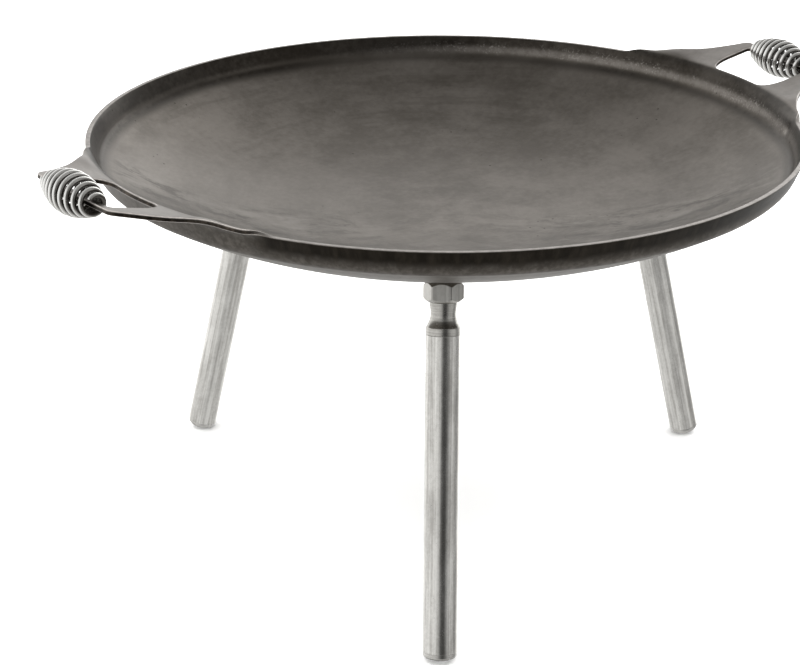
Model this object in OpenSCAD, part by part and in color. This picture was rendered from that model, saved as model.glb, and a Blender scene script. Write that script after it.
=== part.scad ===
// Camp griddle plate: a shallow dished steel pan with a raised rim wall and
// two ear handles pressed from the same plate, a loose wire spiral grip on
// each ear bar, and three splayed legs that screw into nuts under the dish.
// Millimetres, +Z up, origin on the floor under the centre of the dish,
// handles along X.

/* [Pan] */
// Outer diameter over the rim
pan_d = 460; // [440:5:480]
// Thickness of the plate
plate_t = 3; // [2.75:0.25:3.5]
// Height of the rim above the floor
rim_z = 269; // [250:1:290]
// Height of the raised wall, measured outside
wall_h = 15.5; // [15:0.5:18]
// How far the wall leans inwards from rim to base
wall_in = 6.5; // [6:0.5:8.5]
// Depth of the dish below the foot of the wall
dish_depth = 44; // [40:1:45]
// How flat the middle of the dish is: a higher power is flatter
dish_pow = 3.2; // [3:0.1:3.4]
// Inner radius of the bend between dish and wall
bend_r = 7; // [6:0.5:8]

/* [Ears] */
// Upward slope of the ears
ear_tilt = 13.5; // [13:0.5:16]
// Half the angle that an ear takes up on the rim
ear_half_angle = 23; // [22:0.5:24]
// How far each ear sits in front of the middle of its side
ear_skew = 5.5; // [3:0.5:6]
// Distance from the rim to the middle of the grip bar
bar_out = 38.5; // [38:0.5:41]
// Width of the grip bar
bar_w = 6; // [5.5:0.1:6]
// Half the length of the finger window
window_half = 33.5; // [33:0.5:34.5]
// How far below the rim edge the ear bend starts
ear_drop = 2.6; // [2.2:0.1:4]
// Lower radius of the bend between wall and ear
ear_bend_r = 6; // [5:0.5:7]

/* [Grips] */
// Diameter of the grip wire
wire_d = 2.9; // [2.6:0.05:3]
// Length of the spiral between the centres of its end turns
coil_len = 52.5; // [50:0.5:53]
// Mean radius of the end turns
coil_end_r = 5.3; // [5.2:0.05:5.6]
// Mean radius at the belly
coil_mid_r = 12; // [11:0.1:12.4]
// How far the loose spiral sits from the middle of its bar
coil_shift = 2.5; // [0:0.5:2.5]
// Number of turns
coil_turns = 10; // [9:1:11]

/* [Legs] */
// Radius of the nut circle on the underside of the dish
leg_r = 151; // [147:0.5:155]
// Angle of the first leg from the handle axis
leg_phase = -4; // [-10:0.5:10]
// Width of the nut across its flats
nut_af = 21; // [20:0.5:21]
// Height of the nut
nut_h = 12.8; // [12:0.2:13]
// How far each nut is turned about its own axis
nut_turn = 5; // [0:1:30]
// Diameter of the screw
screw_d = 14; // [13.5:0.5:14]
// Diameter of the neck under the nut
neck_d = 16.6; // [16:0.1:17]
// Diameter of the neck where it meets the cone
neck_low_d = 15; // [14.2:0.2:15.4]
// Length of the neck
neck_len = 9.2; // [9:0.1:11]
// Length of the cone between neck and collar
cone_len = 5.8; // [4:0.1:6.2]
// Length of the collar
collar_len = 4.4; // [4:0.1:5]
// Outer diameter of the leg tube
tube_d = 20.5; // [20:0.5:21]
// Wall of the leg tube
tube_wall = 1.5; // [1.25:0.25:1.75]
// Spherical radius of the foot
foot_r = 20; // [18:1:22]

/* [Hidden] */

R = pan_d / 2;
// Outer corner where dish and wall would meet without the bend
corner_r = R - wall_in;
corner_z = rim_z - wall_h;
// Height and slope of the underside of the dish at radius r
function dish_z(r) = corner_z - dish_depth + dish_depth * pow(r / corner_r, dish_pow);
function dish_s(r) = atan(dish_pow * dish_depth / corner_r * pow(r / corner_r, dish_pow - 1));
slope_dish = dish_s(corner_r);
slope_wall = atan(wall_h / wall_in);
bend_out = bend_r + plate_t;
bend_t = bend_out * tan((slope_wall - slope_dish) / 2);
function e(s) = [cos(s), sin(s)];
function n(s) = [-sin(s), cos(s)];
bend_c = [corner_r, corner_z] - bend_t * e(slope_dish) + bend_out * n(slope_dish);
bend_start_r = corner_r - bend_t * cos(slope_dish);
lip_w = plate_t / sin(slope_wall);

// Radial section of the pan
dish_steps = 22;
bend_steps = 8;
pan_section = concat(
    [for (i = [0 : dish_steps]) let (r = (bend_start_r - 0.4) * i / dish_steps)
        [r, dish_z(r)]],
    [for (i = [0 : bend_steps]) let (s = slope_dish + (slope_wall - slope_dish) * i / bend_steps)
        bend_c - bend_out * n(s)],
    [[R - 0.35, rim_z - 0.72], [R - 0.75, rim_z], [R - lip_w + 0.45, rim_z], [R - lip_w - 0.25, rim_z - 0.6]],
    [for (i = [bend_steps : -1 : 0]) let (s = slope_dish + (slope_wall - slope_dish) * i / bend_steps)
        bend_c - bend_r * n(s)],
    [for (i = [dish_steps : -1 : 0]) let (r = (bend_start_r - 0.4) * i / dish_steps)
        [r, dish_z(r)] + plate_t * n(dish_s(r))]);

// Radial section of an ear: up out of the wall, over the bend, then straight
ear_c = [R - lip_w, rim_z] - ear_drop * e(slope_wall) + (ear_bend_r + plate_t) * [sin(slope_wall), -cos(slope_wall)];
function ear_pt(rad, s) = ear_c - rad * [sin(s), -cos(s)];
ear_up = ear_bend_r + plate_t - 0.05;
ear_lo = ear_bend_r + 0.05;
ear_steps = 7;
ear_len = 54;
ear_section = concat(
    [ear_pt(ear_up, slope_wall) - 3 * e(slope_wall)],
    [for (i = [0 : ear_steps]) ear_pt(ear_up, slope_wall + (ear_tilt - slope_wall) * i / ear_steps)],
    [ear_pt(ear_up, ear_tilt) + ear_len * e(ear_tilt)],
    [ear_pt(ear_lo, ear_tilt) + ear_len * e(ear_tilt)],
    [for (i = [ear_steps : -1 : 0]) ear_pt(ear_lo, slope_wall + (ear_tilt - slope_wall) * i / ear_steps)],
    [ear_pt(ear_lo, slope_wall) - 3 * e(slope_wall)]);
// Height of the middle of the ear plate at radius r
function ear_mid_z(r) = let (p = ear_pt((ear_up + ear_lo) / 2, ear_tilt)) p[1] + (r - p[0]) * tan(ear_tilt);

// Outline of an ear seen from above, one half, from the rim to the bar
function bez(a, b, c, d, t) =
    a * pow(1 - t, 3) + b * 3 * t * pow(1 - t, 2) + c * 3 * t * t * (1 - t) + d * pow(t, 3);
bar_x = R + bar_out;
rim_in = R - lip_w - 0.4;
root = rim_in * e(ear_half_angle);
root_dir = [sin(ear_half_angle - 5), -cos(ear_half_angle - 5)];
arm_a = [R + 18, 54.5];
arm_b = [R + 31, 46.8];
arm_dir = (arm_b - arm_a) / norm(arm_b - arm_a);
tip = [bar_x + bar_w / 2, 38.5];
half_outline = concat(
    [for (i = [0 : 9]) bez(root, root + 16 * root_dir, arm_a - 15 * arm_dir, arm_a, i / 9)],
    [for (i = [0 : 6]) bez(arm_b, arm_b + 6 * arm_dir, tip + [0, 5], tip, i / 6)]);
function flip(l) = [for (i = [len(l) - 1 : -1 : 0]) [l[i][0], -l[i][1]]];
ear_outline = concat(half_outline, flip(half_outline),
    [for (i = [-4 : 4]) (R - 14) * e(i / 4 * ear_half_angle)]);
// Finger window, one half, from the rim side to the bar side
win_r = R + 1.2;
win_in = win_r * e(5);
win_half = concat(
    [for (i = [0 : 3]) win_r * e(5 * i / 3)],
    [for (i = [1 : 6]) bez(win_in, win_in + [-0.7, 8], [R + 5, window_half], [R + 18, window_half], i / 6)],
    [for (i = [0 : 4]) [bar_x - bar_w / 2 - 3, window_half - 3] + 3 * [sin(90 * i / 4), cos(90 * i / 4)]]);
window_outline = concat(win_half, flip([for (i = [1 : len(win_half) - 1]) win_half[i]]));

// Grip bar axis
bar_z = ear_mid_z(norm([bar_x, coil_len / 2 - 2]));

// Leg axis: square to the dish at the nut circle
splay = dish_s(leg_r);
leg_z = dish_z(leg_r);
seat = nut_h;
neck_end = seat + neck_len;
cone_end = neck_end + cone_len;
tube_start = cone_end + collar_len;
foot_c = (leg_z - (foot_r - 0.2)) / cos(splay);
foot_edge = foot_c + sqrt(foot_r * foot_r - tube_d * tube_d / 4);
tube_end = foot_edge - 3;
bore_r = tube_d / 2 - tube_wall;

// Swept round wire: rings of points around a barrel-shaped helix
coil_sides = 8;
coil_rings = 18 * coil_turns;
function coil_rad(y) = coil_end_r + (coil_mid_r - coil_end_r) * pow(cos(90 * abs(y) / (coil_len / 2)), 1.05);
function coil_y(t) = coil_len * (t - 0.5);
function coil_p(t) = let (y = coil_y(t), r = coil_rad(y), a = 360 * coil_turns * t + 40) [r * cos(a), y, r * sin(a)];
function unit(v) = v / norm(v);
function coil_ring(t) =
    let (p = coil_p(t),
         a = 360 * coil_turns * t + 40,
         d = unit(coil_p(t + 0.0005) - coil_p(t - 0.0005)),
         o = [cos(a), 0, sin(a)],
         u = unit(o - d * (o * d)),
         w = cross(d, u))
    [for (k = [0 : coil_sides - 1]) p + wire_d / 2 * (u * cos(360 * k / coil_sides) + w * sin(360 * k / coil_sides))];
coil_pts = [for (i = [0 : coil_rings]) each coil_ring(0.001 + 0.998 * i / coil_rings)];
coil_faces = concat(
    [[for (k = [0 : coil_sides - 1]) k]],
    [for (i = [0 : coil_rings - 1]) for (k = [0 : coil_sides - 1])
        let (a = i * coil_sides + k, b = i * coil_sides + (k + 1) % coil_sides)
        each [[a, a + coil_sides, b], [b, a + coil_sides, b + coil_sides]]],
    [[for (k = [coil_sides - 1 : -1 : 0]) coil_rings * coil_sides + k]]);

// Places children in the frame of leg i, Z along the leg from dish to foot
module leg_frame(i) {
    rotate([0, 0, leg_phase + 120 * (i - 1)])
        translate([leg_r, 0, leg_z])
            rotate([0, 180 - splay, 0]) children();
}

module ear() {
    difference() {
        intersection() {
            rotate([0, 0, -ear_half_angle - 4])
                rotate_extrude(angle = 2 * ear_half_angle + 8, $fn = 180) polygon(ear_section);
            translate([0, 0, rim_z - 10]) linear_extrude(height = 60) polygon(ear_outline);
        }
        translate([0, 0, rim_z - 10]) linear_extrude(height = 60) polygon(window_outline);
    }
}

module pan() {
    color([0.36, 0.35, 0.33]) union() {
        rotate_extrude($fn = 180) polygon(pan_section);
        rotate([0, 0, -ear_skew]) ear();
        rotate([0, 0, 180 + ear_skew]) ear();
    }
}

module grip_coil() {
    translate([bar_x, coil_shift, bar_z]) polyhedron(points = coil_pts, faces = coil_faces, convexity = 10);
}
module grip_coil_right() { color([0.80, 0.80, 0.79]) rotate([0, 0, -ear_skew]) grip_coil(); }
module grip_coil_left() { color([0.80, 0.80, 0.79]) mirror([1, 0, 0]) rotate([0, 0, -ear_skew]) grip_coil(); }

module leg_nut(i) {
    cr = nut_af / sqrt(3);
    color([0.62, 0.61, 0.59]) leg_frame(i) difference() {
        intersection() {
            rotate([0, 0, 30 + nut_turn]) translate([0, 0, -0.25]) cylinder(r = cr, h = nut_h + 0.25, $fn = 6);
            rotate_extrude($fn = 96) polygon([[0, -1], [nut_af / 2 - 0.3, -1], [nut_af / 2 - 0.3, -0.25],
                [cr + 0.1, 0.9], [cr + 0.1, nut_h - 1.1], [nut_af / 2 - 0.3, nut_h], [0, nut_h]]);
        }
        translate([0, 0, -2]) cylinder(d = screw_d + 0.1, h = nut_h + 4, $fn = 96);
    }
}
module leg_nut_1() { leg_nut(1); }
module leg_nut_2() { leg_nut(2); }
module leg_nut_3() { leg_nut(3); }

module leg_stud(i) {
    color([0.70, 0.69, 0.67]) leg_frame(i) rotate_extrude($fn = 96) polygon([
        [0, 0.8], [screw_d / 2 - 0.8, 0.8], [screw_d / 2, 1.6], [screw_d / 2, seat],
        [neck_d / 2 - 0.4, seat], [neck_d / 2, seat + 0.4], [neck_low_d / 2, neck_end],
        [tube_d / 2, cone_end], [tube_d / 2, tube_start],
        [bore_r - 0.05, tube_start], [bore_r - 0.05, tube_start + 11], [bore_r - 1.05, tube_start + 12],
        [0, tube_start + 12]]);
}
module leg_stud_1() { leg_stud(1); }
module leg_stud_2() { leg_stud(2); }
module leg_stud_3() { leg_stud(3); }

module leg_tube(i) {
    color([0.72, 0.71, 0.69]) leg_frame(i) rotate_extrude($fn = 96) polygon([
        [bore_r, tube_start], [tube_d / 2 - 0.3, tube_start], [tube_d / 2, tube_start + 0.3],
        [tube_d / 2, tube_end], [bore_r, tube_end]]);
}
module leg_tube_1() { leg_tube(1); }
module leg_tube_2() { leg_tube(2); }
module leg_tube_3() { leg_tube(3); }

module foot_cap(i) {
    color([0.68, 0.67, 0.65]) difference() {
        leg_frame(i) union() {
            translate([0, 0, tube_end - 10]) cylinder(r = bore_r, h = 11, $fn = 96);
            intersection() {
                translate([0, 0, tube_end]) cylinder(d = tube_d, h = 12, $fn = 96);
                translate([0, 0, foot_c]) sphere(r = foot_r, $fn = 96);
            }
        }
        translate([-R - 50, -R - 50, -20]) cube([2 * R + 100, 2 * R + 100, 20]);
    }
}
module foot_cap_1() { foot_cap(1); }
module foot_cap_2() { foot_cap(2); }
module foot_cap_3() { foot_cap(3); }

pan();
grip_coil_left();
grip_coil_right();
leg_nut_1();
leg_nut_2();
leg_nut_3();
leg_stud_1();
leg_stud_2();
leg_stud_3();
leg_tube_1();
leg_tube_2();
leg_tube_3();
foot_cap_1();
foot_cap_2();
foot_cap_3();
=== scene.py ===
import math

import bmesh
import bpy
import numpy as np
from mathutils import Matrix, Vector
from mathutils.geometry import delaunay_2d_cdt


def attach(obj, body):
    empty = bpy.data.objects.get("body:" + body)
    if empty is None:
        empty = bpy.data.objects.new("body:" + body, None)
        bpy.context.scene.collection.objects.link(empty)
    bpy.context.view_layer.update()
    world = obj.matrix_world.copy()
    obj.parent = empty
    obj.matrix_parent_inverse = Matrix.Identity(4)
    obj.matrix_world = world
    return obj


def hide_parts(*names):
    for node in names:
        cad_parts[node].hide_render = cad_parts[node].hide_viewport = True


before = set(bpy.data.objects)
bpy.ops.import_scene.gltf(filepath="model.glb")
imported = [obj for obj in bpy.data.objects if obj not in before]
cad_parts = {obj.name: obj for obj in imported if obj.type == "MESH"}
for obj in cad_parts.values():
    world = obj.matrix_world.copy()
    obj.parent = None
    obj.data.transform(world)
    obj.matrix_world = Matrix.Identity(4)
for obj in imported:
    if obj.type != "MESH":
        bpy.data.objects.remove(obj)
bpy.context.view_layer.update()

# ---------------------------------------------------------------- sizes, in millimetres, as in the CAD source
R, T, RIM_Z = 230.0, 3.0, 269.0
WALL_H, WALL_IN, BEND_R = 15.5, 6.5, 7.0
DISH_DEPTH, DISH_POW = 44.0, 3.2
EAR_TILT, EAR_SKEW, BAR_OUT, EAR_DROP, EAR_BEND_R = 13.5, 5.5, 38.5, 2.6, 6.0
LEG_R, LEG_PHASE = 151.0, -4.0
NUT_AF, NUT_H, NUT_TURN = 21.0, 12.8, 5.0
SCREW_R, TUBE_R, TUBE_WALL, FOOT_R = 7.0, 10.25, 1.5, 20.0
NECK_LEN, CONE_LEN, COLLAR_LEN = 9.2, 5.8, 4.4
NECK_R_TOP, NECK_R_LOW = 8.28, 7.5
COIL_LEN, COIL_END_R, COIL_MID_R, COIL_TURNS, WIRE_R, COIL_SHIFT = 52.5, 5.3, 11.66, 10, 1.55, 2.5

CORNER_R, CORNER_Z = R - WALL_IN, RIM_Z - WALL_H
SLOPE_WALL = math.atan2(WALL_H, WALL_IN)
LIP_W = T / math.sin(SLOPE_WALL)
TILT = math.radians(EAR_TILT)


def dish_z(r):
    return CORNER_Z - DISH_DEPTH + DISH_DEPTH * (r / CORNER_R) ** DISH_POW


def dish_s(r):
    return math.atan(DISH_POW * DISH_DEPTH / CORNER_R * (r / CORNER_R) ** (DISH_POW - 1))


SLOPE_DISH = dish_s(CORNER_R)
BEND_OUT = BEND_R + T
BEND_T = BEND_OUT * math.tan((SLOPE_WALL - SLOPE_DISH) / 2)


def along(s):
    return np.array([math.cos(s), math.sin(s)])


def square(s):
    return np.array([-math.sin(s), math.cos(s)])


BEND_C = np.array([CORNER_R, CORNER_Z]) - BEND_T * along(SLOPE_DISH) + BEND_OUT * square(SLOPE_DISH)
BEND_START = CORNER_R - BEND_T * math.cos(SLOPE_DISH)
SPLAY = dish_s(LEG_R)
LEG_Z = dish_z(LEG_R)
BAR_X = R + BAR_OUT


# ---------------------------------------------------------------- helpers
def new_object(name, verts, faces, smooth=True):
    mesh = bpy.data.meshes.new(name)
    mesh.from_pydata([tuple(v) for v in verts], [], [tuple(f) for f in faces])
    mesh.validate(clean_customdata=False)
    if smooth:
        mesh.polygons.foreach_set("use_smooth", [True] * len(mesh.polygons))
    obj = bpy.data.objects.new(name, mesh)
    bpy.context.scene.collection.objects.link(obj)
    return obj


def tidy(obj, dist=2e-6):
    bm = bmesh.new()
    bm.from_mesh(obj.data)
    bmesh.ops.remove_doubles(bm, verts=bm.verts, dist=dist)
    bmesh.ops.dissolve_degenerate(bm, dist=1e-7, edges=bm.edges)
    bmesh.ops.recalc_face_normals(bm, faces=bm.faces)
    bm.to_mesh(obj.data)
    bm.free()
    obj.data.polygons.foreach_set("use_smooth", [True] * len(obj.data.polygons))
    obj.data.update()


def bez(a, b, c, d, n, last=True):
    out = []
    for i in range(n + (1 if last else 0)):
        t = i / n
        out.append(a * (1 - t) ** 3 + b * 3 * t * (1 - t) ** 2 + c * 3 * t * t * (1 - t) + d * t ** 3)
    return out


def smooth01(x):
    x = min(1.0, max(0.0, x))
    return x * x * (3 - 2 * x)


def polar(d):
    return np.array([math.cos(math.radians(d)), math.sin(math.radians(d))])


def inside(points, loop):
    """Which points lie inside a closed loop."""
    x, y = points[:, 0], points[:, 1]
    hit = np.zeros(len(points), bool)
    a = loop
    b = np.roll(loop, -1, axis=0)
    for (x1, y1), (x2, y2) in zip(a, b):
        if y1 == y2:
            continue
        cond = (y1 > y) != (y2 > y)
        xc = (x2 - x1) * (y - y1) / (y2 - y1) + x1
        hit ^= cond & (x < xc)
    return hit


# ---------------------------------------------------------------- pan: one plate, pressed, with two ears
# End of the straight wall on the upper face, where the ear bend starts
LIP_TOP = np.array([R - 0.25 - LIP_W, RIM_Z - 0.08])
B0 = LIP_TOP - EAR_DROP * along(SLOPE_WALL)
EAR_SKEWS = (-EAR_SKEW, 180.0 + EAR_SKEW)
ROOT, ROOT_IN = 26.8, 21.6
CH = 0.7


def ear_weight(phi):
    """1 on an ear, 0 on the plain rim, from the angle to the ear's middle in degrees."""
    return smooth01((ROOT - abs(phi)) / 4.6)


def ear_phi(theta):
    """Angle to the middle of the nearer ear, in degrees."""
    best = 999.0
    for c in EAR_SKEWS:
        d = (theta - c + 180.0) % 360.0 - 180.0
        if abs(d) < abs(best):
            best = d
    return best


STEP = 0.1
_tables = {}


def ear_table(w):
    key = round(w, 2)
    if key not in _tables:
        n = 640
        l = np.arange(n + 1) * STEP
        s = SLOPE_WALL - key * np.minimum((l) / (EAR_BEND_R + T), SLOPE_WALL - TILT)
        sm = (s[1:] + s[:-1]) / 2
        r = B0[0] + np.concatenate([[0], np.cumsum(np.cos(sm) * STEP)])
        z = B0[1] + np.concatenate([[0], np.cumsum(np.sin(sm) * STEP)])
        _tables[key] = (l, r, z, s)
    return _tables[key]


def flange(r, theta):
    """(height, slope, distance from the wall's end) on the upper face beyond the straight wall."""
    l, rr, zz, ss = ear_table(ear_weight(ear_phi(theta)))
    return np.interp(r, rr, zz), np.interp(r, rr, ss), np.interp(r, rr, l)


def waves(x, y):
    """Slight hand-pressed unevenness of the plate, in millimetres."""
    r = math.hypot(x, y)
    fade = 1 - smooth01((r - 150) / 55)
    a = 0.10 * math.sin(x / 31.0 + 1.3) * math.cos(y / 37.0 + 0.4)
    b = 0.08 * math.sin((x * 0.6 + y) / 23.0 + 2.1) + 0.06 * math.cos((x - 0.7 * y) / 17.0 - 0.8)
    rim = 0.10 * math.sin(3 * math.atan2(y, x) + 0.7) + 0.06 * math.sin(7 * math.atan2(y, x) + 2.0)
    return (a + b) * fade + rim * smooth01((r - 120) / 100) * 0.5


def dents(theta, z):
    """Shallow pressing marks on the wall under each end of an ear."""
    p = abs(ear_phi(theta))
    return -0.9 * math.exp(-((p - 23.7) / 1.15) ** 2) * math.exp(-((z - 261.5) / 4.2) ** 2)


verts, faces, marks = [], [], []


def add(p, lip=0.0, cut=0.0, wear_and_highlight=0.0):
    """New vertex, with how far it belongs to the rim lip, a cut face or a rounded ear corner that is painted with
    highlight and wear.
    """
    verts.append(p)
    marks.append((lip, cut, wear_and_highlight))
    return len(verts) - 1


def lift(r, theta_deg, z, slope, off):
    """Point at that radius and angle, moved off along the plate's own normal."""
    c, s = math.cos(math.radians(theta_deg)), math.sin(math.radians(theta_deg))
    x, y = r * c, r * s
    d = waves(x, y) + (dents(theta_deg, z) if z > 251 else 0.0) + off
    return np.array([x - math.sin(slope) * d * c, y - math.sin(slope) * d * s, z + math.cos(slope) * d])


# rows of the revolved part, centre to the end of the straight wall, on the upper face
profile = []
DISH_ROWS = 37
for i in range(DISH_ROWS + 1):
    ru = (BEND_START - 0.3) * (i / DISH_ROWS) ** 0.85
    s = dish_s(ru)
    p = np.array([ru, dish_z(ru)]) + T * square(s)
    profile.append((max(p[0], 0.0), p[1], s))
for i in range(11):
    s = SLOPE_DISH + (SLOPE_WALL - SLOPE_DISH) * i / 10
    p = BEND_C - BEND_R * square(s)
    profile.append((p[0], p[1], s))
wall0 = BEND_C - BEND_R * square(SLOPE_WALL)
for i in range(1, 9):
    p = wall0 + (B0 - wall0) * i / 8
    profile.append((p[0], p[1], SLOPE_WALL))

COLS = 720
thetas = [360.0 * j / COLS for j in range(COLS)]
grid_top, grid_bot = [], []
for k, (r, z, s) in enumerate(profile):
    if k == 0:
        grid_top.append([add(lift(0.0, 0.0, z, 0.0, 0.0))] * COLS)
        grid_bot.append([add(lift(0.0, 0.0, z, 0.0, -T))] * COLS)
        continue
    grid_top.append([add(lift(r, t, z, s, 0.0)) for t in thetas])
    grid_bot.append([add(lift(r, t, z, s, -T)) for t in thetas])
for g in (grid_top, grid_bot):
    for k in range(len(profile) - 1):
        for j in range(COLS):
            a, b = g[k][j], g[k][(j + 1) % COLS]
            c, d = g[k + 1][(j + 1) % COLS], g[k + 1][j]
            faces.append((a, c, d) if a == b else (a, b, c, d))

# plan outline of one half ear on the upper face, rim to bar, rounding left off
EDGE_R = LIP_TOP[0] - CH * math.cos(SLOPE_WALL)
arm_a, arm_b = np.array([R + 17.4, 53.8]), np.array([R + 30.2, 46.2])
arm_dir = (arm_b - arm_a) / np.linalg.norm(arm_b - arm_a)
tip = np.array([BAR_X + 3 - 1.6, 37.7])


def root_edge(phi):
    """Edge of the plate where an ear runs out into the rim, at that angle from the ear's middle."""
    l, rr, _, _ = ear_table(ear_weight(phi))
    l_rim = EAR_DROP - CH
    return np.interp(l_rim + (8.5 - l_rim) * smooth01((ROOT - phi) / (ROOT - ROOT_IN)), l, rr) * polar(phi)


half = [root_edge(ROOT - (ROOT - ROOT_IN) * i / 9) for i in range(9)]
root = root_edge(ROOT_IN)
half += bez(root, root + 12 * np.array([0.47, -0.883]), arm_a - 19 * arm_dir, arm_a, 26, last=False)
half += [arm_a + (arm_b - arm_a) * i / 8 for i in range(8)]
half += bez(arm_b, arm_b + 6 * arm_dir, tip + np.array([0, 5.0]), tip, 12)
half += [np.array([tip[0], tip[1] * (1 - i / 16)]) for i in range(1, 17)]
half = half[:-1] + [np.array([tip[0], 0.0])]
ear_outline = half + [np.array([p[0], -p[1]]) for p in reversed(half[:-1])]
# finger window, grown by the rounding of its edge
WIN_R = R + 1.2 - 0.6
WH = 33.5 + 0.6
win_in = WIN_R * polar(5)
wh = [WIN_R * polar(5 * i / 10) for i in range(10)]
wh += bez(win_in, win_in + np.array([-0.7, 8.0]), np.array([R + 5, WH]), np.array([R + 18, WH]), 22)
wh += [np.array([R + 18 + (BAR_X - 6 - R - 18) * i / 8, WH]) for i in range(1, 8)]
wh += [np.array([BAR_X - 6, 30.5]) + 3.6 * np.array([math.sin(math.pi / 2 * i / 7), math.cos(math.pi / 2 * i / 7)]) for i in range(8)]
wh += [np.array([BAR_X - 2.4, 30.5 * (1 - i / 18)]) for i in range(1, 19)]
window = wh[:-1] + [np.array([BAR_X - 2.4, 0.0])] + [np.array([p[0], -p[1]]) for p in reversed(wh[1:-1])]


def turned(points, deg):
    c, s = math.cos(math.radians(deg)), math.sin(math.radians(deg))
    return [np.array([p[0] * c - p[1] * s, p[0] * s + p[1] * c]) for p in points]


# outer loop of the plate, anticlockwise: plain rim and the two ears
outer = []
for c, nxt in ((EAR_SKEWS[0], EAR_SKEWS[1]), (EAR_SKEWS[1], EAR_SKEWS[0] + 360)):
    outer += turned(list(reversed(ear_outline)), c)
    t0, t1 = c + ROOT, nxt - ROOT
    n = int(round((t1 - t0) / 0.5))
    outer += [EDGE_R * polar(t0 + (t1 - t0) * i / n) for i in range(1, n)]
outer = np.array(outer)
windows = [np.array(turned(window, c)) for c in EAR_SKEWS]
inner = np.array([B0[0] * polar(t) for t in thetas])

pts = [inner, outer] + windows
edges, base = [], 0
for loop in pts:
    edges += [(base + i, base + (i + 1) % len(loop)) for i in range(len(loop))]
    base += len(loop)
fill = []
for c in EAR_SKEWS:
    rows = list(B0[0] + np.array([0.7, 1.4, 2.2, 3.1, 4.1, 5.2, 6.6])) + [B0[0] + 8.5 + 2.4 * i for i in range(18)]
    for k, r in enumerate(rows):
        step = 0.55
        n = int(2 * ROOT / step)
        for j in range(n + 1):
            phi = -ROOT + step * (j + (0.5 if k % 2 else 0.0))
            fill.append(r * polar(c + phi))
fill = np.array(fill)
border = np.vstack(pts)
ok = inside(fill, outer) & ~inside(fill, windows[0]) & ~inside(fill, windows[1])
keep = []
for i in np.nonzero(ok)[0]:
    if np.min(np.hypot(border[:, 0] - fill[i, 0], border[:, 1] - fill[i, 1])) > 0.62:
        keep.append(i)
fill = fill[keep]
plan = np.vstack([border, fill])
res = delaunay_2d_cdt([Vector((float(p[0]), float(p[1]))) for p in plan], edges, [], 0, 1e-6)
pv = np.array([[v.x, v.y] for v in res[0]])
tri = np.array([list(f) for f in res[2] if len(f) == 3])
cen = pv[tri].mean(axis=1)
e1, e2 = pv[tri[:, 1]] - pv[tri[:, 0]], pv[tri[:, 2]] - pv[tri[:, 0]]
# slivers between points on one straight edge lie outside the plate
good = (np.abs(e1[:, 0] * e2[:, 1] - e1[:, 1] * e2[:, 0]) > 1e-3) & (np.hypot(cen[:, 0], cen[:, 1]) > B0[0] - 0.003) & inside(cen, outer) & ~inside(cen, windows[0]) & ~inside(cen, windows[1])
tri = tri[good]


def sheet_point(p):
    """(upper point, lower point, slope) of the plate at a plan point beyond the wall."""
    r, th = math.hypot(p[0], p[1]), math.degrees(math.atan2(p[1], p[0]))
    z, s, l = flange(r, th)
    w = ear_weight(ear_phi(th))
    p_abs = abs(ear_phi(th))
    z = z + 1.9 * w * math.exp(-((p_abs - 16.8) / 3.1) ** 2) * smooth01((r - 228.0) / 6.0)
    up = lift(r, th, z, s, 0.0)
    lo = lift(r, th, z, s, -T)
    shift = (1 - w) * min(1.0, l / (EAR_DROP - CH)) * T / math.tan(SLOPE_WALL)
    e = along(s) * shift
    lo = lo + np.array([e[0] * p[0] / r, e[0] * p[1] / r, e[1]])
    return up, lo, s


used = np.unique(tri)
up_id, lo_id = {}, {}
for i in used:
    u, l, s = sheet_point(pv[i])
    up_id[i], lo_id[i] = add(u), add(l)
for a, b, c in tri:
    faces.append((up_id[a], up_id[b], up_id[c]))
    faces.append((lo_id[a], lo_id[c], lo_id[b]))


def edge_strip(loop, sign):
    """Rounded cut edge round a closed loop; sign 1 has the plate on its inside."""
    n = len(loop)
    rows = []
    for i in range(n):
        p = loop[i]
        t = loop[(i + 1) % n] - loop[i - 1]
        t = t / np.linalg.norm(t)
        b = np.array([t[1], -t[0]]) * sign
        u, l, s = sheet_point(p)
        r = math.hypot(p[0], p[1])
        rise = (b[0] * p[0] + b[1] * p[1]) / r * math.tan(s)
        b3 = np.array([b[0], b[1], rise])
        b3 /= np.linalg.norm(b3)
        ue, le = u + CH * b3, l + CH * b3
        d = (le - ue) / np.linalg.norm(le - ue)
        row = []
        for k in range(6):
            q = k / 5
            row.append(u * (1 - q) ** 2 + ue * 2 * q * (1 - q) + (ue + CH * d) * q * q)
        row.append((ue + CH * d) * 0.72 + (le - CH * d) * 0.28)
        for k in range(6):
            q = k / 5
            row.append((le - CH * d) * (1 - q) ** 2 + le * 2 * q * (1 - q) + l * q * q)
        w = ear_weight(ear_phi(math.degrees(math.atan2(p[1], p[0]))))
        ids = []
        for k, x in enumerate(row):
            # the rim lip and the rounded corners of the ear edges are marked for a painted highlight, partly wear; the
            # middle of the ear's cut face is marked for rust
            lip = (1 - w) if 3 <= k <= 9 else 0.0
            cut = smooth01((w - 0.35) / 0.6) if 6 <= k <= 8 else 0.0
            wear_and_highlight = w if 2 <= k <= 4 else (0.75 * w if 9 <= k <= 11 else 0.0)
            ids.append(add(x, lip, cut, wear_and_highlight))
        rows.append(ids)
    for i in range(n):
        a, b = rows[i], rows[(i + 1) % n]
        for k in range(len(a) - 1):
            faces.append((a[k], a[k + 1], b[k + 1], b[k]))


edge_strip(outer, 1.0)
for w in windows:
    area = 0.5 * np.sum(w[:, 0] * np.roll(w[:, 1], -1) - np.roll(w[:, 0], -1) * w[:, 1])
    edge_strip(w, -1.0 if area > 0 else 1.0)

pan = new_object("pan_plate", np.array(verts) * 0.001, faces)
for k, name in enumerate(("lip", "cut", "wear_and_highlight")):
    pan.data.attributes.new(name, "FLOAT", "POINT").data.foreach_set("value", [m[k] for m in marks])
tidy(pan, 4e-6)


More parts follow.
